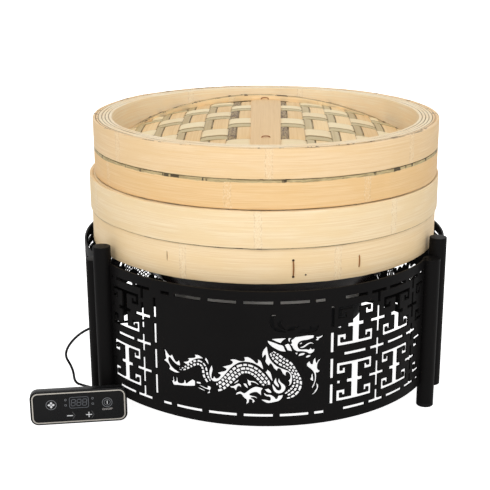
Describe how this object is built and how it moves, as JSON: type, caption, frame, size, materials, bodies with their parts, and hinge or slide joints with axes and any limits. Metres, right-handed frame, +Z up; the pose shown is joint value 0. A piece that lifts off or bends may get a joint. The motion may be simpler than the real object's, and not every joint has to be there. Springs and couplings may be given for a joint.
{
  "type": "dim sum station",
  "caption": "Round tabletop steam warmer: fret-cut black panel ring on posts, induction heater, water pan, bamboo basket with woven lid, and a wired handset.",
  "frame": {"origin": "on the axis of the ring of panels, on the table that the low posts stand on", "axes": "+Z up; -Y towards the front panel and the handset's face; +X to the right as seen from the front"},
  "size_m": [0.4941, 0.451, 0.3294],
  "materials": {
    "powder_black": "black powder coat, fine texture",
    "foot_rubber": "matt black",
    "screw_steel": "blackened",
    "heater_black": "satin black",
    "rim_steel": "brushed",
    "ceramic_glass": "polished black ceramic glass",
    "carrier_plastic": "moulded",
    "coil_copper": "wound copper wire",
    "board_green": "laminated board",
    "gloss_black": "polished",
    "lead_rubber": "matt black",
    "pan_enamel": "glossy black enamel",
    "bamboo": "planed bamboo, satin",
    "bamboo_slat": "split bamboo",
    "bamboo_dark": "weathered cane",
    "display_black": "smoked window"
  },
  "bodies": {
    "frame": {"panel_front": "powder_black", "panel_rear_right": "powder_black", "panel_rear_left": "powder_black", "low_posts": "powder_black", "high_posts": "powder_black", "post_caps": "powder_black", "post_feet": "foot_rubber", "support_arm_right": "powder_black", "support_arm_rear": "powder_black", "support_arm_left": "powder_black", "arm_screws": "screw_steel", "heater_base": "heater_black", "heater_rim": "rim_steel", "heater_glass": "ceramic_glass", "coil_carrier": "carrier_plastic", "heating_coil": "coil_copper", "fan_motor": "carrier_plastic", "heater_board": "board_green", "power_inlet": "gloss_black", "heater_gland": "lead_rubber", "handset_back": "gloss_black", "handset_front": "gloss_black", "handset_trim": "rim_steel", "handset_display": "display_black", "handset_board": "board_green", "handset_gland": "lead_rubber", "lead": "lead_rubber"},
    "fan": {"fan_rotor": "carrier_plastic"},
    "pan": {"water_pan": "pan_enamel"},
    "basket": {"basket_inner_hoop": "bamboo", "basket_lower_band": "bamboo", "basket_upper_band": "bamboo", "basket_slats": "bamboo_slat", "basket_battens": "bamboo_slat", "basket_stitches": "bamboo_dark"},
    "lid": {"lid_inner_hoop": "bamboo", "lid_lower_band": "bamboo", "lid_upper_band": "bamboo", "lid_dome_hoop": "bamboo", "lid_warp_strips": "bamboo_slat", "lid_weft_strips": "bamboo_slat", "lid_strap": "bamboo_slat", "lid_staples": "bamboo_dark"}
  },
  "joints": [
    {"name": "fan_spin", "type": "hinge", "parent": "frame", "child": "fan", "pos_m": [0, 0, 0.1034], "axis": [0, 0, 1], "continuous": true},
    {"name": "pan_lift", "type": "slide", "parent": "frame", "child": "pan", "axis": [0, 0, 1], "range_m": [0, 0.1]},
    {"name": "basket_lift", "type": "slide", "parent": "pan", "child": "basket", "axis": [0, 0, 1], "range_m": [0, 0.12]},
    {"name": "lid_lift", "type": "slide", "parent": "basket", "child": "lid", "axis": [0, 0, 1], "range_m": [0, 0.15]}
  ]
}
